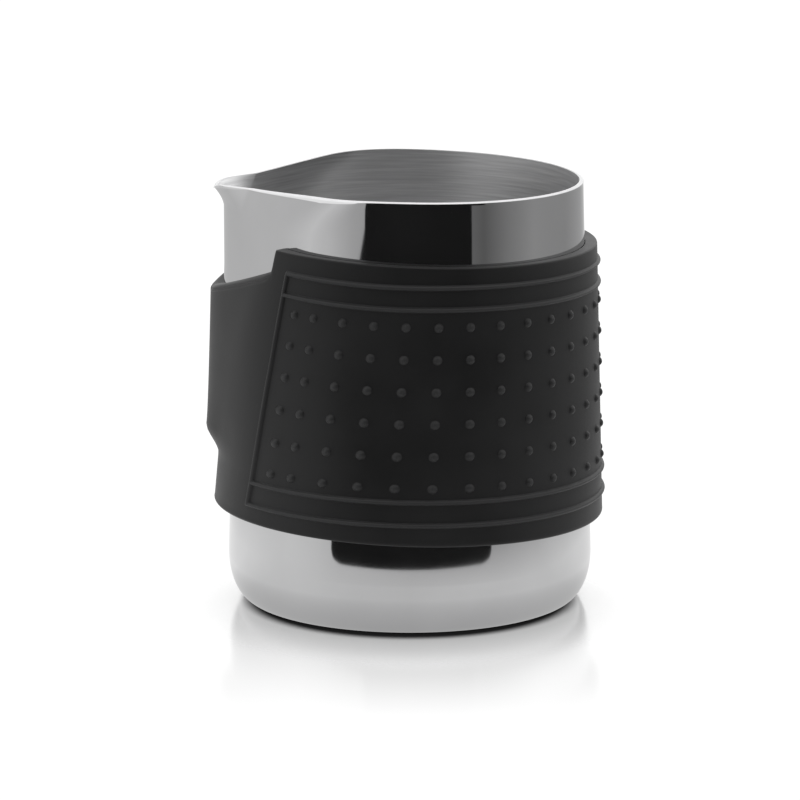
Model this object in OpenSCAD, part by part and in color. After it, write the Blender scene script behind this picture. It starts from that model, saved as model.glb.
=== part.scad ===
// Handleless milk frothing pitcher: a drawn steel jug in a moulded silicone grip sleeve.
// Millimetres, +Z up, origin at the middle of the flat base. The spout points along -X, and
// the shape is symmetric about the XZ plane. Angles are counted from the spout, 0 to 180.

/* [Jug] */
// Diameter of the tapering wall, carried down to the base
base_d = 86; // [80:0.5:92]
// Diameter of the tapering wall, carried up to rim height
rim_d = 80.6; // [76:0.2:84]
// Height of the rim at the two sides
jug_h = 100; // [96:0.2:110]
// Height that the rim gains from the back to the front
rim_rise = 1.7; // [0:0.1:3]
// Depth of the dip that the rim makes towards the spout
rim_dip = 2.4; // [0:0.1:5]
// Extra drop of the rim at the very tip
tip_drop = 1.1; // [0:0.1:2]
// Thickness of the steel
steel_t = 1; // [0.8:0.1:1.2]
// Width of the round between the wall and the base
round_w = 5.5; // [4:0.5:8]
// Height of the same round
round_h = 11; // [6:0.5:12]

/* [Spout] */
// Distance from the axis to the spout's straight ridge
ridge_reach = 43.35; // [42.8:0.05:44.5]
// Distance from the axis to the tip of the pouring lip
lip_reach = 45.7; // [44.5:0.1:46]
// Height over which the lip curls out
lip_h = 4.3; // [2:0.1:6]
// Height at which the ridge starts to rise from the round wall
ridge_start = 34.5; // [33:0.5:39]
// Height at which the ridge is fully formed
ridge_full = 41; // [40:0.5:46]

/* [Grip sleeve] */
// Thickness of the silicone on the round wall
sleeve_t = 2.7; // [2:0.1:4]
// Free gap between the steel and the silicone
sleeve_gap = 0.2; // [0.15:0.01:0.3]
// Height of the sleeve's lower edge at the sides
sleeve_low = 22.1; // [18:0.1:26]
// Height of the sleeve's upper edge at the sides
sleeve_high = 85.8; // [83:0.2:88]
// Height of the upper edge under the spout
notch_low = 74; // [68:0.1:80]
// Height of the upper edge where the notch ends
notch_high = 82.2; // [76:0.1:84]
// Reach of the bulge over the ridge, at its foot
bulge_foot = 47.8; // [47.2:0.1:49]
// Reach of the bulge over the ridge, at the notch
bulge_top = 46.5; // [45.8:0.1:47.5]
// How far the sleeve's foot stands out below the ridge
toe_out = 0.8; // [0:0.1:1.5]

/* [Hidden] */

// Number of points round a section, and how much closer they lie at the spout.
around_n = 84;
crowding = 0.7;
// Roundness, in degrees, of the ridges and of the bends where the flanks meet the round wall.
steel_tip = 5;
sleeve_tip = 7;
bend = 8;
// Angle where the flanks meet the round wall: at the foot of the ridge, the neck and the rim.
foot_join = 18;
neck_join = 50;
neck_z = 90;
rim_join = 67;
// The lip's curl: its half-width in degrees, the half-width of the drop at its tip, and the
// radius that it fades to at both sides.
lip_spread = 17;
tip_width = 4;
lip_side = 34.9;
// The same for the sleeve's bulge, at its foot and at the notch's ends.
bulge_join = 18;
notch_join = 43.6;
// Angle of the top corners beside the notch, and how the notch's edge curves up to them.
corner_angle = 45.8;
notch_curve = 1.15;
// Slopes of the sleeve's edges, which rise towards the spout, and the bow of the upper edge.
low_slope = 0.034;
high_slope = 0.048;
high_bow = 0.65;
// Radius on the edges of the steel rim and of the sleeve.
rim_edge = 0.3;
sleeve_edge = 0.6;

function mix(a, b, t) = a + (b - a) * t;
function ramp(x, x0, x1) = min(1, max(0, (x - x0) / (x1 - x0)));
function ease(t) = t * t * (3 - 2 * t);

// Angle from the spout of point i, from -180 at the back, through 0 at the spout, to 180.
function turn(i) = let (s = 2 * i / around_n - 1) 180 * (s + crowding * pow(s, 3)) / (1 + crowding);

// Radius of a circle that two straight flanks draw out into a ridge at the given reach.
// The flanks leave the circle at angle join, and tip rounds the ridge.
function drawn_out(phi, r, reach, join, tip) =
    let (
        bx = r * cos(join),
        by = r * sin(join),
        apex = reach * (by * cos(tip) - bx * sin(tip)) / (by - reach * sin(tip)),
        p = sqrt(phi * phi + tip * tip)
    )
    phi >= join ? r : apex * by / (by * cos(p) + (apex - bx) * sin(p));

// The same with the two bends rounded, as a weighted mean over nearby angles.
function section(phi, r, reach, join, tip) =
    let (w = bend * ease(ramp(phi, 0, join)))
    (
        drawn_out(phi - w, r, reach, join, tip) + 2 * drawn_out(phi - w / 2, r, reach, join, tip)
        + 2 * drawn_out(phi, r, reach, join, tip)
        + 2 * drawn_out(phi + w / 2, r, reach, join, tip) + drawn_out(phi + w, r, reach, join, tip)
    ) / 8;

function wall_r(z) = mix(base_d, rim_d, z / jug_h) / 2;
function rim_z(phi) =
    jug_h + rim_rise * cos(phi) / 2
    - (phi < 90 ? rim_dip * pow(cos(phi), 2) : 0)
    - tip_drop * exp(-pow(phi / tip_width, 2));

function join_angle(z) =
    z < neck_z ? mix(foot_join, neck_join, 1 - pow(1 - ramp(z, ridge_full, neck_z), 2))
    : mix(neck_join, rim_join, pow(ramp(z, neck_z, jug_h), 1.5));
function steel_section(phi, z) = section(phi, wall_r(z), ridge_reach, join_angle(z), steel_tip);
// Radius of the lip's edge, and how far a height lies from the curl's start (0) to its edge (1).
// The curl is gentler, and starts lower, at the sides of the lip.
function lip_r(phi) = mix(lip_side, lip_reach, exp(-pow(phi / lip_spread, 2)));
function curl(phi, z) =
    pow(ramp(z, rim_z(phi) - lip_h * (1 + pow(phi / lip_spread, 2)), rim_z(phi)), 1.6);
function steel_r(phi, z) =
    let (plain = steel_section(phi, z))
    mix(wall_r(z), plain, ease(ramp(z, ridge_start, ridge_full)))
    + curl(phi, z) * max(0, lip_r(phi) - plain);

function bulge_reach(z) = mix(bulge_foot, bulge_top, pow(ramp(z, ridge_full, notch_low), 0.7));
function bulge_angle(z) = mix(bulge_join, notch_join, ramp(z, ridge_full, notch_high));
function toe(phi, z) = toe_out * pow(max(0, cos(phi)), 4) * ramp(z, ridge_start, sleeve_low);
function sleeve_r(phi, z) =
    let (r = wall_r(z) + sleeve_gap + sleeve_t + toe(phi, z))
    mix(
        r,
        section(phi, r, bulge_reach(z), bulge_angle(z), sleeve_tip),
        ease(ramp(z, ridge_start, ridge_full))
    );
function lower_edge(phi) = sleeve_low + low_slope * wall_r(sleeve_low) * cos(phi);
function upper_edge(phi) =
    let (
        notch = mix(notch_low, notch_high, pow(ramp(phi, 0, notch_join), notch_curve)),
        top = sleeve_high + high_slope * wall_r(sleeve_high) * cos(phi) + high_bow * pow(cos(phi), 2)
    )
    mix(notch, top, ease(ramp(phi, notch_join, corner_angle)));

// One ring of points. Its height is a function of the angle, its radius of the angle and height.
function ring(height, radius) = [
    for (i = [0:around_n - 1])
        let (t = turn(i), p = abs(t), z = height(p), r = radius(p, z))
        [-r * cos(t), r * sin(t), z]
];

// A solid from rings of points: closed on itself, or capped at its first and last rings.
module skin(rings, closed) {
    m = len(rings);
    sides = [
        for (j = [0:m - (closed ? 1 : 2)], i = [0:around_n - 1])
            let (
                a = j * around_n,
                b = ((j + 1) % m) * around_n,
                k = (i + 1) % around_n
            )
            each [[a + i, b + k, b + i], [a + i, a + k, b + k]]
    ];
    caps = closed ? [] : [
        [for (i = [around_n - 1:-1:0]) i],
        [for (i = [0:around_n - 1]) (m - 1) * around_n + i]
    ];
    polyhedron(points = [for (r = rings) each r], faces = concat(sides, caps), convexity = 6);
}

// Heights of the jug's rings up to the neck, and fractions from the neck up to the rim.
wall_levels = [16, 24, 32, 34.5, 36, 37.6, 39.2, 41, 49, 57, 65, 73, 81, 90];
rim_steps = [0.3, 0.55, 0.75, 0.9, 1];
// Angle between the rings of the round at the base.
round_step = 18;

module jug() {
    flat_r = wall_r(round_h) - round_w;
    // Heights of one side of the wall: up to the neck at fixed levels, then up to the rim.
    heights = concat(
        [for (z = wall_levels) function(p) z],
        [for (s = rim_steps) function(p) mix(neck_z, rim_z(p) - rim_edge, s)]
    );
    // The round at the foot of the outside, or of the inside when it is set in by the steel.
    function foot(a, set_in) =
        ring(
            function(p) round_h - (round_h - set_in) * cos(a),
            function(p, z) flat_r + (round_w - set_in) * sin(a)
        );

    outside = concat(
        [for (a = [0:round_step:90]) foot(a, 0)],
        [for (h = heights) ring(h, function(p, z) steel_r(p, z))]
    );
    rim = ring(function(p) rim_z(p), function(p, z) steel_r(p, z) - steel_t / 2);
    inside = concat(
        [for (j = [len(heights) - 1:-1:0]) ring(heights[j], function(p, z) steel_r(p, z) - steel_t)],
        [for (a = [90:-round_step:0]) foot(a, steel_t)]
    );
    color("lightsteelblue") skin(concat(outside, [rim], inside), false);
}

// Fractions of the sleeve's height where its rings lie, close together at the foot of the ridge.
sleeve_steps = [
    0.02, 0.13, 0.235, 0.265, 0.295, 0.325, 0.36, 0.43, 0.5, 0.57, 0.64, 0.71, 0.78, 0.85, 0.92, 0.98
];

module grip_sleeve() {
    heights = [for (s = sleeve_steps) function(p) mix(lower_edge(p), upper_edge(p), s)];
    outer = function(p, z) sleeve_r(p, z);
    inner = function(p, z) steel_r(p, z) + sleeve_gap;
    outside = [for (h = heights) ring(h, outer)];
    inside = [for (j = [len(heights) - 1:-1:0]) ring(heights[j], inner)];
    // Each end is a flat edge, narrower than the wall by the rounding on both sides.
    function edge(height, radius, grow) = ring(height, function(p, z) radius(p, z) + grow);
    top = [
        edge(function(p) upper_edge(p), outer, -sleeve_edge),
        edge(function(p) upper_edge(p), inner, sleeve_edge)
    ];
    bottom = [
        edge(function(p) lower_edge(p), inner, sleeve_edge),
        edge(function(p) lower_edge(p), outer, -sleeve_edge)
    ];
    color("dimgray") skin(concat(outside, top, inside, bottom), true);
}

jug();
grip_sleeve();
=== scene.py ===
import math

import bpy
import numpy as np
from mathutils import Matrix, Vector


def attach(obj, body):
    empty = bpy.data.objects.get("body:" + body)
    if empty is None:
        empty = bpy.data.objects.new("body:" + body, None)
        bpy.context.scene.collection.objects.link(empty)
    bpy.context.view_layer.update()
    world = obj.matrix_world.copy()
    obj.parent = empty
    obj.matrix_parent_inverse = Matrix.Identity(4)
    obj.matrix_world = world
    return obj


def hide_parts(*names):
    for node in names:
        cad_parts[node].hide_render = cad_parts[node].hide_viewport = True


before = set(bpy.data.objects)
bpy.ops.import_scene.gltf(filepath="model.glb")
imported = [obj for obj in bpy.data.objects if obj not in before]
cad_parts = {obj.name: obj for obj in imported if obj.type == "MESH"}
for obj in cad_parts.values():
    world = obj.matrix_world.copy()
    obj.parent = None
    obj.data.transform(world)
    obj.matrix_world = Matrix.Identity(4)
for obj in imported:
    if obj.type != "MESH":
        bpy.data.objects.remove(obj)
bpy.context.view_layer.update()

# Everything is in metres and in the CAD's frame: +Z up, the spout along -X, the base at z = 0.
# Angles on the wall are in degrees from the spout, 0 to 180 on both sides of the XZ plane.
MM = 0.001


# ---------------------------------------------------------------- driving dimensions

# A name that ends in CURVE is the power that shapes how a value goes from one end to the other.

# The jug, as in the CAD model.
BASE_R = 43.0 * MM
RIM_R = 40.3 * MM
JUG_H = 100.0 * MM
RIM_RISE = 1.7 * MM
RIM_DIP = 2.4 * MM
TIP_DROP = 1.1 * MM
TIP_DROP_WIDTH = 4.0
STEEL_T = 1.0 * MM
ROUND_W, ROUND_H = 5.5 * MM, 11.0 * MM
RIDGE_REACH = 43.35 * MM
LIP_REACH, LIP_SIDE, LIP_SPREAD = 45.7 * MM, 34.9 * MM, 17.0
LIP_H = 4.3 * MM
CURL_CURVE = 1.6
RIDGE_START = 34.5 * MM
RIDGE_FULL = 41.0 * MM
NECK_Z = 90.0 * MM
# Angles where the ridge's flanks meet the round wall: at its foot, at the neck and at the rim.
FOOT_JOIN, NECK_JOIN, RIM_JOIN, JOIN_CURVE = 18.0, 50.0, 67.0, 1.5
# Roundness, in degrees, of the ridge and of the bends beside its flanks. The bends are rounded
# more widely than in the CAD model, as a weighted mean over a number of steps.
STEEL_TIP, BEND, BEND_STEPS = 5.0, 13.0, 25
# The rim's crest: how far inside the middle of the steel it lies, then the width and height of
# the round outside it, and the size of the round inside it.
RIM_CREST, RIM_OUT, RIM_EDGE, RIM_IN = 0.32 * MM, 0.84 * MM, 0.36 * MM, 0.18 * MM

# The grip sleeve, as in the CAD model. Its gap to the steel sets its outside, and SNUG is the
# smaller gap that it is shown with.
SLEEVE_GAP, SNUG = 0.2 * MM, 0.06 * MM
SLEEVE_T = 2.7 * MM
LOW_EDGE, LOW_SLOPE = 22.1 * MM, 0.034
HIGH_EDGE, HIGH_SLOPE, HIGH_BOW = 85.8 * MM, 0.048, 0.65 * MM
NOTCH_LOW, NOTCH_HIGH, NOTCH_CURVE = 74.0 * MM, 82.2 * MM, 1.15
NOTCH_JOIN, CORNER_ANGLE = 43.6, 45.8
BULGE_FOOT, BULGE_TOP, BULGE_CURVE = 47.8 * MM, 46.5 * MM, 0.7
BULGE_JOIN = 18.0
SLEEVE_TIP = 7.0
TOE_OUT = 0.8 * MM
# Degrees over which the corners of the notch's steps are rounded, as a mean over some steps.
CORNER_ROUND, CORNER_STEPS = 0.6, 9
# The sleeve's end faces: how many degrees the notch's steps lean back towards the spout on the
# way in, and how much the outer side of the end faces stands proud.
EDGE_SKEW, EDGE_LIFT = 2.8, 0.25 * MM
# The rounds on their outer side, in the notch, beside it and at the foot, and on their inner
# side. The notch's round goes over into the next within some degrees of its end. The last two
# are the shares of the way in where the outer round ends and the inner one starts.
NOTCH_SOFT, TOP_SOFT, FOOT_SOFT, INNER_SOFT = 1.7 * MM, 0.5 * MM, 0.7 * MM, 0.15 * MM
SOFT_BLEND = 6.0
OUTER_SHARE, INNER_SHARE = 1.0 / 2.6, 0.7

# The sleeve's moulded pattern. Its dots and lines lie on a net whose upright lines fan out
# downwards next to the spout: FAN gives, by angle at NET_Z, the degrees lost per millimetre.
NET_Z = 72.2 * MM
FAN_ANGLES = [0.0, 47.6, 53.1, 113.0, 180.0]
FAN_SLOPES = [0.0, 0.293, 0.222, 0.0, 0.0]
BORDER_ANGLE = 47.6
BORDER_LINES = [(81.25 * MM, 0.022), (76.25 * MM, 0.022), (32.2 * MM, 0.018), (26.9 * MM, 0.018)]
# How much the level lines bow up towards the spout beside their slope, by height.
BOW_LEVELS = [42.0 * MM, 60.0 * MM, 81.25 * MM, HIGH_EDGE]
BOW_RISES = [0.0, 2.5 * MM, 2.4 * MM, HIGH_BOW]
LINE_H, LINE_W = 0.7 * MM, 0.6 * MM
# The dots' columns, by angle at NET_Z, and their rows, counted down from NET_Z.
FIRST_COLUMN, SECOND_COLUMN, COLUMNS_BEHIND = 53.1, 60.0, 12
DOT_ROWS, DOT_PITCH = 6, 7.38 * MM
DOT_R, DOT_H = 1.05 * MM, 0.66 * MM


# ---------------------------------------------------------------- shape functions

def mix(a, b, t):
    return a + (b - a) * t


def ramp(x, x0, x1):
    return np.clip((x - x0) / (x1 - x0), 0.0, 1.0)


def ease(t):
    return t * t * (3.0 - 2.0 * t)


def cosd(a):
    return np.cos(np.radians(a))


def sind(a):
    return np.sin(np.radians(a))


def drawn_out(phi, r, reach, join, tip):
    """Radius of a circle that two straight flanks draw out into a ridge at the given reach."""
    bx, by = r * cosd(join), r * sind(join)
    apex = reach * (by * cosd(tip) - bx * sind(tip)) / (by - reach * sind(tip))
    p = np.sqrt(phi * phi + tip * tip)
    flank = apex * by / (by * cosd(p) + (apex - bx) * sind(p))
    return np.where(phi >= join, r, flank)


def section(phi, r, reach, join, tip):
    """drawn_out with the bends beside the flanks rounded, as a weighted mean over nearby angles."""
    width = BEND * ease(ramp(phi, 0.0, join))
    total, weights = 0.0, 0.0
    for k in np.linspace(-1.0, 1.0, BEND_STEPS):
        weight = (1.0 - k * k) ** 2
        total = total + weight * drawn_out(np.abs(phi + k * width), r, reach, join, tip)
        weights += weight
    return total / weights


def wall_r(z):
    return mix(BASE_R, RIM_R, z / JUG_H)


def rim_z(phi):
    dip = np.where(phi < 90.0, RIM_DIP * cosd(phi) ** 2, 0.0)
    drop = TIP_DROP * np.exp(-((phi / TIP_DROP_WIDTH) ** 2))
    return JUG_H + RIM_RISE * cosd(phi) / 2.0 - dip - drop


def join_angle(z):
    below = mix(FOOT_JOIN, NECK_JOIN, 1.0 - (1.0 - ramp(z, RIDGE_FULL, NECK_Z)) ** 2)
    return below + (RIM_JOIN - NECK_JOIN) * ramp(z, NECK_Z, JUG_H) ** JOIN_CURVE


def curl(phi, z):
    """How far a height lies from the start of the lip's curl (0) to its edge (1)."""
    start = rim_z(phi) - LIP_H * (1.0 + (phi / LIP_SPREAD) ** 2)
    return ramp(z, start, rim_z(phi)) ** CURL_CURVE


def steel_r(phi, z):
    plain = section(phi, wall_r(z), RIDGE_REACH, join_angle(z), STEEL_TIP)
    lip = mix(LIP_SIDE, LIP_REACH, np.exp(-((phi / LIP_SPREAD) ** 2)))
    ridged = mix(wall_r(z), plain, ease(ramp(z, RIDGE_START, RIDGE_FULL)))
    return ridged + curl(phi, z) * np.maximum(0.0, lip - plain)


def sleeve_r(phi, z):
    toe = TOE_OUT * np.maximum(0.0, cosd(phi)) ** 4 * ramp(z, RIDGE_START, LOW_EDGE)
    r = wall_r(z) + SLEEVE_GAP + SLEEVE_T + toe
    reach = mix(BULGE_FOOT, BULGE_TOP, ramp(z, RIDGE_FULL, NOTCH_LOW) ** BULGE_CURVE)
    join = mix(BULGE_JOIN, NOTCH_JOIN, ramp(z, RIDGE_FULL, NOTCH_HIGH))
    return mix(r, section(phi, r, reach, join, SLEEVE_TIP), ease(ramp(z, RIDGE_START, RIDGE_FULL)))


def lower_edge(phi):
    return LOW_EDGE + LOW_SLOPE * wall_r(LOW_EDGE) * cosd(phi)


def full_edge(phi):
    return HIGH_EDGE + HIGH_SLOPE * wall_r(HIGH_EDGE) * cosd(phi) + HIGH_BOW * cosd(phi) ** 2


def upper_edge(phi):
    """The sleeve's upper edge, with the notch under the spout and the slanted steps beside it."""
    total, weights = 0.0, 0.0
    for k in np.linspace(-1.0, 1.0, CORNER_STEPS):
        weight = 1.1 - k * k
        p = np.abs(phi + CORNER_ROUND * k)
        notch = mix(NOTCH_LOW, NOTCH_HIGH, ramp(p, 0.0, NOTCH_JOIN) ** NOTCH_CURVE)
        total = total + weight * mix(notch, full_edge(p), ramp(p, NOTCH_JOIN, CORNER_ANGLE))
        weights += weight
    return total / weights


# ---------------------------------------------------------------- meshes from rings

def place(phi_signed, r, z):
    return np.stack([-r * cosd(phi_signed), r * sind(phi_signed), z], axis=-1)


def ringed_mesh(name, grid, closed, bands):
    """A mesh from grid[ring][point]. closed joins the last ring to the first; otherwise both ends
    are capped with a fan. bands is the material index of each strip between two rings."""
    rings, n, _ = grid.shape
    verts = grid.reshape(-1, 3)
    strips = rings if closed else rings - 1
    j, i = np.meshgrid(np.arange(strips), np.arange(n), indexing="ij")
    a, b, k = j * n, (j + 1) % rings * n, (i + 1) % n
    faces = np.stack([a + i, a + k, b + k, b + i], axis=-1).reshape(-1, 4).tolist()
    material = np.repeat(bands[:strips], n).tolist()
    if not closed:
        first, last = len(verts), len(verts) + 1
        verts = np.vstack([verts, grid[0].mean(axis=0), grid[-1].mean(axis=0)])
        end = (rings - 1) * n
        faces += [[first, (m + 1) % n, m] for m in range(n)]
        faces += [[last, end + m, end + (m + 1) % n] for m in range(n)]
        material += [bands[0]] * n + [bands[-1]] * n
    mesh = bpy.data.meshes.new(name)
    mesh.from_pydata(verts.tolist(), [], faces)
    mesh.polygons.foreach_set("use_smooth", [True] * len(mesh.polygons))
    mesh.polygons.foreach_set("material_index", material)
    mesh.update()
    obj = bpy.data.objects.new(name, mesh)
    bpy.context.scene.collection.objects.link(obj)
    return obj


# How many points a ring of the jug has, and how much closer they lie at the spout.
AROUND = 400
CROWDING = 0.7
# How many rings the jug has on the wall, from the neck to the rim, on the base's round and over
# the rim, and how many of the rim's strips belong to the satin inside.
WALL_RINGS, NECK_RINGS, ROUND_RINGS, RIM_RINGS, RIM_SATIN = 60, 17, 19, 13, 5
# Shares of the flat base's radius where its rings lie, the height of the wall's first ring, the
# share of the way from the neck to the rim of the first one there, and the arc over the rim.
FLAT_SHARES = (0.1, 0.35, 0.6, 0.8, 0.93)
WALL_START, NECK_START = ROUND_H + 1.4 * MM, 0.06
RIM_ARC = (4.0, 176.0)
OUTSIDE, INSIDE, EDGE = 0, 1, 2


def build_jug():
    """The drawn steel shell: base, round, wall with its spout, rounded rim, and the same inside."""
    s = np.arange(AROUND) * 2.0 / AROUND - 1.0
    signed = 180.0 * (s + CROWDING * s ** 3) / (1.0 + CROWDING)
    phi = np.abs(signed)
    one = np.ones_like(phi)
    flat_r = float(wall_r(ROUND_H)) - ROUND_W

    def base_rings(set_in):
        """From near the middle of the base out and up to the foot of the wall."""
        w, h = ROUND_W - set_in, ROUND_H - set_in
        flats = [(one * set_in, one * flat_r * f) for f in FLAT_SHARES]
        arcs = [(one * (ROUND_H - h * cosd(a)), one * (flat_r + w * sind(a)))
                for a in np.linspace(0.0, 90.0, ROUND_RINGS)]
        return flats + arcs

    heights = [one * z for z in np.linspace(WALL_START, NECK_Z, WALL_RINGS)]
    heights += [mix(NECK_Z, rim_z(phi) - RIM_EDGE, f) for f in np.linspace(NECK_START, 1, NECK_RINGS)]
    outer = [(z, steel_r(phi, z)) for z in heights]
    inner = [(z, steel_r(phi, z) - STEEL_T) for z in reversed(heights)]
    top = rim_z(phi)
    crest = steel_r(phi, top) - STEEL_T / 2.0 - RIM_CREST
    rim = []
    for a in np.linspace(*RIM_ARC, RIM_RINGS):
        across, high = (RIM_OUT, RIM_EDGE) if a < 90.0 else (RIM_IN, RIM_IN)
        rim.append((top - high * (1.0 - sind(a)), crest + across * cosd(a)))
    foot_out, foot_in = base_rings(0.0), base_rings(STEEL_T)[::-1]
    rings = foot_out + outer + rim + inner + foot_in
    bands = [OUTSIDE] * (len(foot_out + outer) - 1) + [EDGE] * (RIM_RINGS - RIM_SATIN)
    bands += [INSIDE] * (len(inner + foot_in) + RIM_SATIN)
    grid = np.array([place(signed, r, z) for z, r in rings])
    return ringed_mesh("steel_jug", grid, False, bands)


def with_detail(start, stop, step, features):
    """Coordinates from start to stop, about step apart, with every feature's own lines kept whole.
    A feature is (middle, offsets); plain lines that would crowd it are left out."""
    fine = sorted(m + o for m, offsets in features for o in offsets)
    lines = [start] + [f for f in fine if start < f < stop] + [stop]
    out = [lines[0]]
    for a, b in zip(lines, lines[1:]):
        parts = max(1, round((b - a) / step))
        out += [mix(a, b, k / parts) for k in range(1, parts + 1)]
    return np.array(out)


def both_ways(offsets):
    return sorted({-o for o in offsets} | set(offsets))


# Offsets, in metres, of the grid lines that carry a dot or a raised line.
DOT_OFFSETS = both_ways([0.0, 0.26 * MM, 0.5 * MM, 0.72 * MM, 0.88 * MM, DOT_R, 1.15 * MM])
LINE_OFFSETS = both_ways([0.0, 0.2 * MM, 0.38 * MM, 0.5 * MM, LINE_W, 0.75 * MM])
DOT_EDGE = DOT_OFFSETS[-1]
# In units of DOT_EDGE: just over 1, so that a dot's outermost grid lines still count as its own.
DOT_REACH = 1.0001
# The grid lines that carry the slanted step beside the notch.
STEP_COLUMN = 40.6
STEP_OFFSETS = both_ways([k * 0.32 * MM for k in range(10)])
# Elsewhere, how many degrees and metres apart the grid lines lie, and how far inside the
# sleeve's edges the first and last rows are. Then the number of rings of an end face and of the
# inside, and the shares of the height where the inside ends.
COLUMN_STEP, ROW_STEP, ROWS_IN = 1.6, 1.3 * MM, 0.9 * MM
END_RINGS, LINING_RINGS = 17, 34
LINING_LOW, LINING_HIGH = 0.008, 0.992


def dot_columns():
    """Angles of the dot columns at NET_Z, from the border to the back: the last two straddle 180."""
    pitch = (180.0 - SECOND_COLUMN) / (COLUMNS_BEHIND + 0.5)
    return [FIRST_COLUMN] + [SECOND_COLUMN + pitch * k for k in range(COLUMNS_BEHIND + 1)]


def dot_levels():
    return [NET_Z - DOT_PITCH * k for k in range(DOT_ROWS)]


def tilt(level):
    """How much a level line of the sleeve rises towards the spout, from its height at the sides."""
    known = [(LOW_EDGE, LOW_SLOPE)] + sorted(BORDER_LINES) + [(HIGH_EDGE, HIGH_SLOPE)]
    return np.interp(level, [z for z, _ in known], [t for _, t in known])


def net_point(column, level):
    """Angle and height where the net's upright line and level line cross."""
    phi = column
    for _ in range(4):
        bow = np.interp(level, BOW_LEVELS, BOW_RISES) * np.maximum(0.0, cosd(phi)) ** 2
        z = level + tilt(level) * wall_r(level) * cosd(phi) + bow
        phi = column - np.interp(column, FAN_ANGLES, FAN_SLOPES) * (NET_Z - z) / MM
    # Above half height the level lines come down under the notch.
    share = (z - lower_edge(phi)) / (full_edge(phi) - lower_edge(phi))
    return phi, z - (full_edge(phi) - upper_edge(phi)) * ease(ramp(share, 0.5, 1.0))


def raised_line(distance):
    """How high a line stands at a distance from its middle."""
    return LINE_H * np.maximum(0.0, 1.0 - (distance / LINE_W) ** 2) ** 0.75


def dot_dome(distance):
    """How high a dot, which is the cap of a ball, stands at a distance from its middle."""
    ball = (DOT_R ** 2 + DOT_H ** 2) / (2.0 * DOT_H)
    return np.maximum(0.0, np.sqrt(np.maximum(ball ** 2 - distance ** 2, 0.0)) - (ball - DOT_H))


def pattern():
    """The grid's net columns and levels, drawn together into circles round each dot, then how much
    the pattern stands off the sleeve there, and the same as a share of a crest's full height."""
    degree = (float(wall_r(NET_Z)) + SLEEVE_T) * math.radians(1.0)
    columns, levels = dot_columns(), dot_levels()
    across = [(c, [o / degree for o in DOT_OFFSETS]) for c in columns]
    across += [(BORDER_ANGLE, [o / degree for o in LINE_OFFSETS])]
    across += [(STEP_COLUMN, [o / degree for o in STEP_OFFSETS])]
    upright = [(z, DOT_OFFSETS) for z in levels] + [(z, LINE_OFFSETS) for z, _ in BORDER_LINES]
    half = with_detail(0.0, 180.0, COLUMN_STEP, across)
    rows = with_detail(LOW_EDGE + ROWS_IN, HIGH_EDGE - ROWS_IN, ROW_STEP, upright)

    column, level = np.meshgrid(half, rows)
    du, dv = column.copy(), level.copy()
    dots = np.zeros_like(column)
    for c in columns:
        for z in levels:
            a, b = (column - c) * degree / DOT_EDGE, (level - z) / DOT_EDGE
            near = (np.abs(a) <= DOT_REACH) & (np.abs(b) <= DOT_REACH)
            round_a = a * np.sqrt(np.maximum(0.0, 1.0 - b * b / 2.0))
            round_b = b * np.sqrt(np.maximum(0.0, 1.0 - a * a / 2.0))
            du = np.where(near, c + round_a * DOT_EDGE / degree, du)
            dv = np.where(near, z + round_b * DOT_EDGE, dv)
            dots = np.where(near, dot_dome(np.hypot(round_a, round_b) * DOT_EDGE), dots)

    top_line, low_line = BORDER_LINES[0][0], BORDER_LINES[-1][0]
    beside = np.maximum(0.0, (BORDER_ANGLE - du) * degree)
    beyond = np.maximum(0.0, np.maximum(dv - top_line, low_line - dv))
    lines = raised_line(np.hypot((du - BORDER_ANGLE) * degree, beyond))
    for z, _ in BORDER_LINES:
        lines = np.maximum(lines, raised_line(np.hypot(dv - z, beside)))
    return du, dv, np.maximum(dots, lines), np.where(dots > 0.0, dots / DOT_H, lines / LINE_H)


def end_rings(p_out, p_in, height, sign):
    """One end face of the sleeve, from the angles of its outer skin to those of its inside. height
    is its edge, and sign is 1 at the top and -1 at the foot."""
    rings = []
    for f in np.linspace(0.0, 1.0, END_RINGS):
        p = mix(p_out, p_in, f)
        z = height(p + EDGE_SKEW * f) + sign * EDGE_LIFT * (1.0 - f)
        outside_notch = ramp(p, NOTCH_JOIN - SOFT_BLEND, CORNER_ANGLE)
        soft = mix(NOTCH_SOFT, TOP_SOFT, outside_notch) if sign > 0 else FOOT_SOFT
        turn_out = 90.0 * ramp(f, 0.0, OUTER_SHARE)
        turn_in = 90.0 * ramp(f, INNER_SHARE, 1.0)
        r_out, r_in = sleeve_r(p, z), steel_r(p, z) + SNUG
        flat = (r_out - r_in - soft - INNER_SOFT) * ramp(f, OUTER_SHARE, INNER_SHARE)
        r = r_out - soft * (1.0 - cosd(turn_out)) - flat - INNER_SOFT * sind(turn_in)
        drop = soft * (1.0 - sind(turn_out)) + INNER_SOFT * (1.0 - cosd(turn_in))
        rings.append((p, z - sign * drop, r))
    return rings


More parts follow.
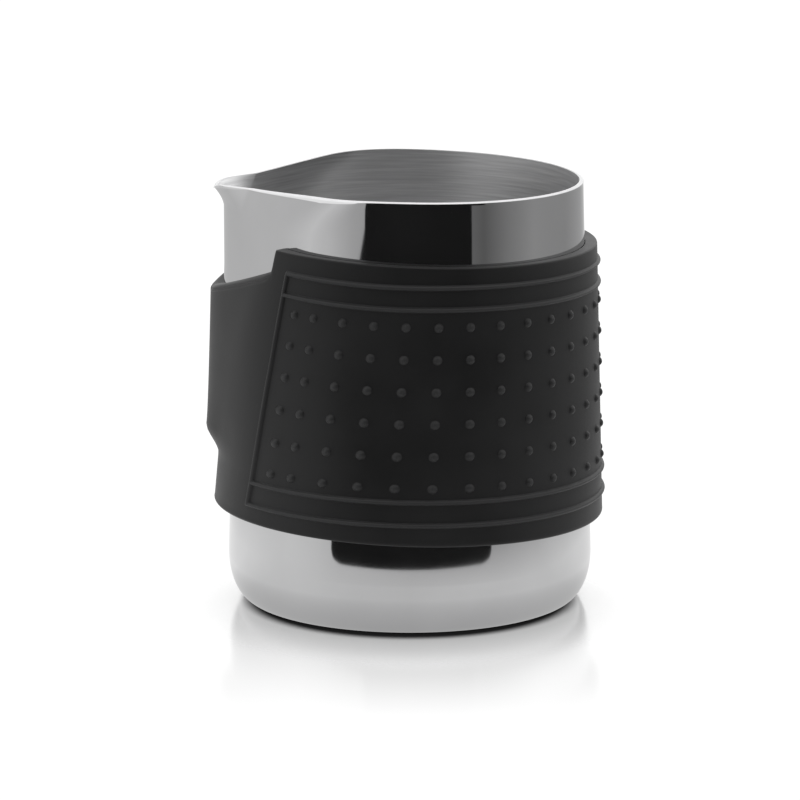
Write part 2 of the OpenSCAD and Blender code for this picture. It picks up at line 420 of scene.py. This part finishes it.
def build_sleeve():
    """The moulded sleeve: a bulge over the spout's ridge, border lines, dots and rounded edges."""
    net_column, net_level, lift, crest = pattern()
    phi, z = net_point(net_column, net_level)
    phi = np.maximum(phi, 0.0)
    skin = [(p, h, sleeve_r(p, h) + stands) for p, h, stands in zip(phi, z, lift)]
    inside = []
    for share in np.linspace(LINING_HIGH, LINING_LOW, LINING_RINGS):
        p = phi[round(share * (len(phi) - 1))]
        h = mix(lower_edge(p), upper_edge(p), share)
        inside.append((p, h, steel_r(p, h) + SNUG))
    top = end_rings(phi[-1], inside[0][0], upper_edge, 1.0)
    bottom = end_rings(phi[0], inside[-1][0], lower_edge, -1.0)[::-1]
    rings = skin + top + inside + bottom

    def whole(half_ring, mirror):
        """A half ring with its other half, where the values are multiplied by mirror."""
        return np.concatenate([half_ring, mirror * half_ring[-2:0:-1]])

    grid = np.array([place(whole(p, -1.0), whole(r, 1.0), whole(h, 1.0)) for p, h, r in rings])
    obj = ringed_mesh("silicone_sleeve", grid[:, ::-1], True, [0] * len(rings))
    # The crest share of each skin point, which the silicone uses for its painted highlight on the dots
    # and lines.
    highlight_share = np.zeros(grid.shape[:2])
    highlight_share[:len(skin)] = [whole(ring, 1.0) for ring in crest]
    layer = obj.data.attributes.new("crest", "FLOAT", "POINT")
    layer.data.foreach_set("value", highlight_share[:, ::-1].ravel())
    return obj


# ---------------------------------------------------------------- materials

def bare_material(name):
    """A material with nothing but its output node, and that node's surface socket."""
    material = bpy.data.materials.new(name)
    material.use_nodes = True
    tree = material.node_tree
    tree.nodes.clear()
    return material, tree, tree.nodes.new("ShaderNodeOutputMaterial").inputs["Surface"]


def new_material(name):
    material, tree, surface = bare_material(name)
    shader = tree.nodes.new("ShaderNodeBsdfPrincipled")
    tree.links.new(shader.outputs["BSDF"], surface)
    return material, tree, shader


def feed(tree, socket, value):
    """Links another node's output to a socket, or sets the socket to a plain value."""
    if isinstance(value, bpy.types.NodeSocket):
        tree.links.new(value, socket)
    else:
        socket.default_value = value


def object_place(tree):
    return tree.nodes.new("ShaderNodeTexCoord").outputs["Object"]


def distance_from(tree, point):
    """How far a place is from a point, both in the object's own coordinates."""
    node = tree.nodes.new("ShaderNodeVectorMath")
    node.operation = "DISTANCE"
    feed(tree, node.inputs[0], object_place(tree))
    feed(tree, node.inputs[1], point)
    return node.outputs["Value"]


def maths(tree, operation, first, second):
    node = tree.nodes.new("ShaderNodeMath")
    node.operation = operation
    feed(tree, node.inputs[0], first)
    feed(tree, node.inputs[1], second)
    return node.outputs["Value"]


def mapped(tree, value, start, end, low=0.0, high=1.0, kind="LINEAR"):
    """Goes from low to high as the value goes from start to end, and no further."""
    node = tree.nodes.new("ShaderNodeMapRange")
    node.interpolation_type = kind
    names = ("Value", "From Min", "From Max", "To Min", "To Max")
    for name, given in zip(names, (value, start, end, low, high)):
        feed(tree, node.inputs[name], given)
    return node.outputs["Result"]


def blend_colours(tree, share, first, second):
    """Goes from the first colour to the second as the share goes from 0 to 1."""
    node = tree.nodes.new("ShaderNodeMix")
    node.data_type = "RGBA"
    feed(tree, node.inputs["Factor"], share)
    for socket, colour in zip([i for i in node.inputs if i.type == "RGBA"], (first, second)):
        feed(tree, socket, colour)
    return next(o for o in node.outputs if o.type == "RGBA")


def blend_shaders(tree, share, first, second):
    """Goes from the first shader to the second as the share goes from 0 to 1."""
    node = tree.nodes.new("ShaderNodeMixShader")
    for socket, given in zip(node.inputs, (share, first, second)):
        feed(tree, socket, given)
    return node.outputs["Shader"]


def noise(tree, scale, detail, stretch=(1.0, 1.0, 1.0)):
    """Noise over the object's own coordinates, stretched along each axis."""
    mapping = tree.nodes.new("ShaderNodeMapping")
    feed(tree, mapping.inputs["Vector"], object_place(tree))
    feed(tree, mapping.inputs["Scale"], stretch)
    texture = tree.nodes.new("ShaderNodeTexNoise")
    feed(tree, texture.inputs["Vector"], mapping.outputs["Vector"])
    feed(tree, texture.inputs["Scale"], scale)
    feed(tree, texture.inputs["Detail"], detail)
    return texture.outputs["Fac"]


# The range in which a noise value mostly lies.
NOISE_LOW, NOISE_HIGH = 0.3, 0.7


def between(tree, value, low, high):
    """Spreads a noise value from low to high."""
    return mapped(tree, value, NOISE_LOW, NOISE_HIGH, low, high)


def colour_between(tree, value, dark, light):
    """Spreads a noise value from a dark colour to a light one."""
    node = tree.nodes.new("ShaderNodeValToRGB")
    for stop, position, colour in zip(node.color_ramp.elements, (NOISE_LOW, NOISE_HIGH), (dark, light)):
        stop.position = position
        stop.color = (*colour, 1.0)
    feed(tree, node.inputs["Fac"], value)
    return node.outputs["Color"]


def bump(tree, shader, height, strength, distance):
    node = tree.nodes.new("ShaderNodeBump")
    feed(tree, node.inputs["Height"], height)
    feed(tree, node.inputs["Strength"], strength)
    feed(tree, node.inputs["Distance"], distance)
    feed(tree, shader.inputs["Normal"], node.outputs["Normal"])


def steel_grey(level):
    """A grey with the faintest blue in it."""
    return (level, level, level + 0.005)


def polished_steel():
    """Mirror-polished stainless steel with the faintest haze and polishing lines."""
    material, tree, shader = new_material("polished_steel")
    haze = noise(tree, 45.0, 4.0)
    lines = noise(tree, 60.0, 3.0, stretch=(1.0, 1.0, 60.0))
    colour = colour_between(tree, haze, steel_grey(0.60), steel_grey(0.64))
    feed(tree, shader.inputs["Base Color"], colour)
    feed(tree, shader.inputs["Metallic"], 1.0)
    feed(tree, shader.inputs["Roughness"], between(tree, haze, 0.035, 0.065))
    bump(tree, shader, lines, 0.02, 0.00001)
    return material


def satin_steel():
    """The inside: satin steel with fine lines round the axis, left by the brushing wheel."""
    material, tree, shader = new_material("satin_steel")
    lines = noise(tree, 60.0, 6.0, stretch=(1.0, 1.0, 30.0))
    patches = noise(tree, 30.0, 3.0, stretch=(1.0, 1.0, 3.0))
    colour = colour_between(tree, lines, steel_grey(0.58), steel_grey(0.78))
    feed(tree, shader.inputs["Base Color"], colour)
    feed(tree, shader.inputs["Metallic"], 1.0)
    feed(tree, shader.inputs["Roughness"], between(tree, patches, 0.42, 0.50))
    feed(tree, shader.inputs["Anisotropic"], 0.6)
    feed(tree, shader.inputs["Anisotropic Rotation"], 0.25)
    along = tree.nodes.new("ShaderNodeTangent")
    along.direction_type = "RADIAL"
    along.axis = "Z"
    feed(tree, shader.inputs["Tangent"], along.outputs["Tangent"])
    bump(tree, shader, lines, 0.3, 0.00004)
    return material


def ground_rim_highlight():
    """The rim's ground and buffed edge, with a soft gloss and fine marks along it, painted a paler
    steel than the wall as a painted highlight.
    """
    material, tree, shader = new_material("ground_rim_highlight")
    marks = noise(tree, 260.0, 4.0)
    # Painted highlight: a paler grey than the polished wall, so that the rim shows as a bright line.
    colour = colour_between(tree, marks, steel_grey(0.68), steel_grey(0.75))
    feed(tree, shader.inputs["Base Color"], colour)
    feed(tree, shader.inputs["Metallic"], 1.0)
    feed(tree, shader.inputs["Roughness"], between(tree, marks, 0.16, 0.24))
    bump(tree, shader, marks, 0.05, 0.00002)
    return material


def silicone():
    """Matte moulded silicone: near-black, with a fine spark-eroded grain and a faint bloom. The
    crests of its dots and raised lines are painted a little paler, as a painted highlight."""
    material, tree, shader = new_material("moulded_silicone")
    cloud = noise(tree, 55.0, 5.0)
    grain = noise(tree, 2600.0, 2.0)
    crest = tree.nodes.new("ShaderNodeAttribute")
    crest.attribute_name = "crest"
    plain = colour_between(tree, cloud, (0.005, 0.005, 0.0052), (0.0075, 0.0075, 0.0078))
    # Painted highlight: the crests of the dots and raised lines get a paler colour, by their crest
    # share.
    painted_highlight = (0.018, 0.018, 0.0185, 1.0)
    colour = blend_colours(tree, crest.outputs["Fac"], plain, painted_highlight)
    feed(tree, shader.inputs["Base Color"], colour)
    feed(tree, shader.inputs["Roughness"], between(tree, cloud, 0.40, 0.48))
    feed(tree, shader.inputs["Specular IOR Level"], 0.27)
    feed(tree, shader.inputs["Sheen Weight"], 0.04)
    bump(tree, shader, grain, 0.18, 0.00004)
    return material


# ---------------------------------------------------------------- stage, light and camera

def grey(level):
    return (level, level, level, 1.0)


def emitting(name):
    """A material that only glows, with the emission node ready for a colour."""
    material, tree, surface = bare_material(name)
    glow = tree.nodes.new("ShaderNodeEmission")
    feed(tree, surface, glow.outputs["Emission"])
    return material, tree, glow


def one_sided(name):
    """A glow from the front, clear from behind so that the floor under it still mirrors."""
    material, tree, surface = bare_material(name)
    glow = tree.nodes.new("ShaderNodeEmission")
    side = tree.nodes.new("ShaderNodeNewGeometry").outputs["Backfacing"]
    clear = tree.nodes.new("ShaderNodeBsdfTransparent").outputs["BSDF"]
    feed(tree, surface, blend_shaders(tree, side, glow.outputs["Emission"], clear))
    return material, tree, glow


def add_mesh(name, verts, faces, material):
    mesh = bpy.data.meshes.new(name)
    mesh.from_pydata(verts, [], faces)
    mesh.materials.append(material)
    obj = bpy.data.objects.new(name, mesh)
    bpy.context.scene.collection.objects.link(obj)
    return obj


def glossy_only(obj):
    """A flag or panel that shows only in reflections, as one just outside the picture would."""
    obj.visible_camera = False
    obj.visible_diffuse = False
    obj.visible_shadow = False
    obj.visible_transmission = False


FLOOR_HALF = 4.0
FLOOR_WHITE, FLOOR_GLOW = 0.93, 1.08
# The floor's gloss, its strength on the axis and how it fades out: to nothing at POLISH_FAR.
GLOSS, GLOSS_ROUGH = 0.97, 0.16
POLISH, POLISH_NEAR, POLISH_FAR, POLISH_CURVE = 0.58, 0.045, 0.125, 1.4
# The lit floor gives way to an even glow just outside the contact shadow, and a painted contact
# shadow, a dark line under the round, ends with a soft edge. Both are round a point a little in
# front of the axis.
SHADE_Y, SHADE_NEAR, SHADE_FAR = -0.012, 0.040, 0.058
CONTACT_Y, CONTACT_NEAR, CONTACT_FAR, PAINTED_CONTACT_SHADOW = -0.0045, 0.0362, 0.0405, 0.02


def build_floor():
    """A white floor, polished where the object stands and matte further out."""
    material, tree, surface = bare_material("white_floor")

    def fade(start, end, centre_y=0.0, kind="LINEAR"):
        return mapped(tree, distance_from(tree, (0.0, centre_y, 0.0)), start, end, kind=kind)

    def diffuse(level):
        node = tree.nodes.new("ShaderNodeBsdfDiffuse")
        feed(tree, node.inputs["Color"], grey(level))
        return node.outputs["BSDF"]

    even = tree.nodes.new("ShaderNodeEmission")
    feed(tree, even.inputs["Strength"], FLOOR_GLOW)
    gloss = tree.nodes.new("ShaderNodeBsdfGlossy")
    feed(tree, gloss.inputs["Color"], grey(GLOSS))
    feed(tree, gloss.inputs["Roughness"], GLOSS_ROUGH)

    past_shade = fade(SHADE_NEAR, SHADE_FAR, SHADE_Y, "SMOOTHSTEP")
    white = blend_shaders(tree, past_shade, diffuse(FLOOR_WHITE), even.outputs["Emission"])
    polish = maths(tree, "POWER", fade(POLISH_FAR, POLISH_NEAR), POLISH_CURVE)
    polish = maths(tree, "MULTIPLY", polish, POLISH)
    polished = blend_shaders(tree, polish, white, gloss.outputs["BSDF"])
    # Painted contact shadow: a near-black diffuse ring under the round, laid over the rest of the
    # floor.
    past_painted_shadow = fade(CONTACT_NEAR, CONTACT_FAR, CONTACT_Y, "SMOOTHSTEP")
    feed(tree, surface, blend_shaders(tree, past_painted_shadow, diffuse(PAINTED_CONTACT_SHADOW), polished))
    h = FLOOR_HALF
    corners = [(-h, -h, 0), (h, -h, 0), (h, h, 0), (-h, h, 0)]
    add_mesh("floor", corners, [[0, 1, 2, 3]], material)


BLACK = 0.01
# The fan on the floor: its distances from the axis, its two sides in degrees from the front,
# how far they spread outwards, the radius of its near corners, its height off the floor, and the
# number of points on its near edge.
FLAG_NEAR, FLAG_FAR = 0.124, 0.6
FLAG_LEFT, FLAG_RIGHT, FLAG_SPREAD = -43.3, 45.0, 4.0
FLAG_CORNER, FLAG_Z, FLAG_POINTS = 0.018, 0.0003, 61
# The standing card: its place, its top, its left and right edges, and the left end of its foot.
# Low down its left edge is cut aslant, out to that end.
CARD_Y, CARD_TOP = -0.35, 0.45
CARD_LEFT, CARD_RIGHT, CARD_FOOT = -0.186, 0.324, -0.31
CARD_CUT = [(CARD_LEFT, 0.0515), (-0.226, 0.0345)]


def build_flags():
    """Black flags in front, which the polished wall mirrors as a dark panel: a fan on the floor that
    starts at an arc round the jug, and a standing card with its left edge cut aslant."""
    black, _, glow = one_sided("black_flag")
    glow.inputs["Color"].default_value = grey(BLACK)
    corner = math.degrees(FLAG_CORNER / FLAG_NEAR)
    fan = []
    for a in np.linspace(FLAG_LEFT, FLAG_RIGHT, FLAG_POINTS):
        inside = max(0.0, corner - (a - FLAG_LEFT), corner - (FLAG_RIGHT - a)) / corner
        fan.append((a, FLAG_NEAR + FLAG_CORNER * (1.0 - math.sqrt(max(0.0, 1.0 - inside ** 2)))))
    fan += [(FLAG_RIGHT + FLAG_SPREAD, FLAG_FAR), (FLAG_LEFT - FLAG_SPREAD, FLAG_FAR)]
    verts = [(r * float(sind(a)), -r * float(cosd(a)), FLAG_Z) for a, r in fan]
    glossy_only(add_mesh("floor_flag", verts, [list(range(len(verts)))[::-1]], black))
    card = [(CARD_FOOT, 0.0), (CARD_RIGHT, 0.0), (CARD_RIGHT, CARD_TOP), (CARD_LEFT, CARD_TOP)]
    verts = [(x, CARD_Y, z) for x, z in card + CARD_CUT]
    glossy_only(add_mesh("front_card", verts, [list(range(len(verts)))[::-1]], black))


TENT_R, TENT_LOW, TENT_TOP = 0.45, 0.08, 0.34
# Brightness by degrees from the front, negative on the spout's side. The left and right lists make
# up the levels of the tent and of the floor further out. Each drum has a white back as well, and
# the upper one has a softbox on the right. APRON_LEVELS is the floor next to the jug.
FAR_LEFT = [(-148, 0.66), (-118, 0.63), (-70, 0.80), (-52, 0.68), (-36, 0.5)]
FAR_RIGHT = [(47, 0.13), (65, 0.25), (85, 0.35), (119, 0.33), (148, 0.42), (158, 0.52), (166, 0.75)]
FAR_LEVELS = FAR_LEFT + FAR_RIGHT
SOFTBOX_LEVELS = [(47, 0.13), (65, 0.4), (90, 0.9), (150, 1.1), (180, 1.1)]
WHITE_BACK = [(-180, 1.1), (-160, 1.1)]
LOWER_LEVELS = WHITE_BACK + FAR_LEVELS + [(172, 1.1), (180, 1.1)]
UPPER_LEVELS = WHITE_BACK + FAR_LEFT + SOFTBOX_LEVELS
APRON_LEVELS = [(-180, 0.9), (-105, 0.95), (-75, 0.80), (-30, 0.74), (0, 0.68),
                (40, 0.74), (75, 0.76), (105, 0.88), (180, 0.9)]
# The apron, a ring of light on the floor: its inner radius, where it starts to go over to the
# tent's levels and where it has them, and its height.
APRON_R, APRON_FADE, APRON_END, APRON_Z = 0.038, 0.095, 0.19, 0.0001
# Close to the jug the apron is dimmer, a painted shade of the jug on the floor: its strength
# there, and where it is back to full.
CLOSE_LEVEL, CLOSE_END = 0.72, 0.060


def levels_round(tree, table):
    """The brightness by the angle round the jug, from a table of degrees and levels."""
    split = tree.nodes.new("ShaderNodeSeparateXYZ")
    feed(tree, split.inputs["Vector"], object_place(tree))
    forwards = maths(tree, "MULTIPLY", split.outputs["Y"], -1.0)
    angle = maths(tree, "ARCTAN2", split.outputs["X"], forwards)
    levels = tree.nodes.new("ShaderNodeValToRGB")
    feed(tree, levels.inputs["Fac"], mapped(tree, angle, -math.pi, math.pi))
    stops = levels.color_ramp.elements
    while len(stops) < len(table):
        stops.new(0.5)
    for stop, (degrees, level) in zip(stops, table):
        stop.position = (degrees + 180.0) / 360.0
        stop.color = grey(level)
    return levels.outputs["Color"]


def drum(name, lower, upper, material):
    """A ring of faces between two circles, each given as (radius, height)."""
    n = 96
    turns = [2.0 * math.pi * i / n for i in range(n)]
    verts = [(r * math.cos(t), r * math.sin(t), z) for r, z in (lower, upper) for t in turns]
    faces = [[i, (i + 1) % n, n + (i + 1) % n, n + i] for i in range(n)]
    glossy_only(add_mesh(name, verts, faces, material))


def build_tent():
    """The light tent, seen only in reflections: two drums, one over the other, whose brightness
    changes round them, and the apron on the floor inside them."""
    bands = [("lower_tent", 0.0, TENT_LOW, LOWER_LEVELS),
             ("upper_tent", TENT_LOW, TENT_TOP, UPPER_LEVELS)]
    for name, low, high, table in bands:
        material, tree, glow = emitting(name + "_glow")
        feed(tree, glow.inputs["Color"], levels_round(tree, table))
        drum(name, (TENT_R, low), (TENT_R, high), material)

    material, tree, glow = one_sided("apron_glow")
    reach = distance_from(tree, (0.0, 0.0, 0.0))
    near, far = levels_round(tree, APRON_LEVELS), levels_round(tree, FAR_LEVELS)
    colour = blend_colours(tree, mapped(tree, reach, APRON_FADE, APRON_END), near, far)
    feed(tree, glow.inputs["Color"], colour)
    # Painted shade: the apron's glow dims close to the jug.
    feed(tree, glow.inputs["Strength"], mapped(tree, reach, APRON_R, CLOSE_END, CLOSE_LEVEL, 1.0))
    drum("tent_apron", (TENT_R, APRON_Z), (APRON_R, APRON_Z), material)


def build_world():
    world = bpy.data.worlds.new("white_studio")
    world.use_nodes = True
    sky = world.node_tree.nodes["Background"]
    sky.inputs["Color"].default_value = grey(1.0)
    sky.inputs["Strength"].default_value = 1.2
    bpy.context.scene.world = world


# The camera stands about a metre in front and looks slightly down.
VIEW_ELEVATION = math.radians(11.87)
VIEW_DISTANCE = 1.084
VIEW_AIM = Vector((-0.0023, 0.0, 0.0465))
VIEW_LENS = 207.9


def build_camera():
    data = bpy.data.cameras.new("camera")
    data.lens = VIEW_LENS
    data.sensor_width = 36.0
    data.clip_start = 0.05
    data.clip_end = 20.0
    camera = bpy.data.objects.new("camera", data)
    back = Vector((0.0, -math.cos(VIEW_ELEVATION), math.sin(VIEW_ELEVATION)))
    camera.location = VIEW_AIM + VIEW_DISTANCE * back
    camera.rotation_euler = (math.radians(90.0) - VIEW_ELEVATION, 0.0, 0.0)
    bpy.context.scene.collection.objects.link(camera)
    bpy.context.scene.camera = camera


# ---------------------------------------------------------------- the scene

jug = build_jug()
jug.data.materials.append(polished_steel())
jug.data.materials.append(satin_steel())
jug.data.materials.append(ground_rim_highlight())
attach(jug, "jug")
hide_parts("jug")

sleeve = build_sleeve()
sleeve.data.materials.append(silicone())
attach(sleeve, "grip_sleeve")
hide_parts("grip_sleeve")

build_floor()
build_flags()
build_tent()
build_world()
build_camera()
bpy.context.scene.view_settings.view_transform = "Standard"
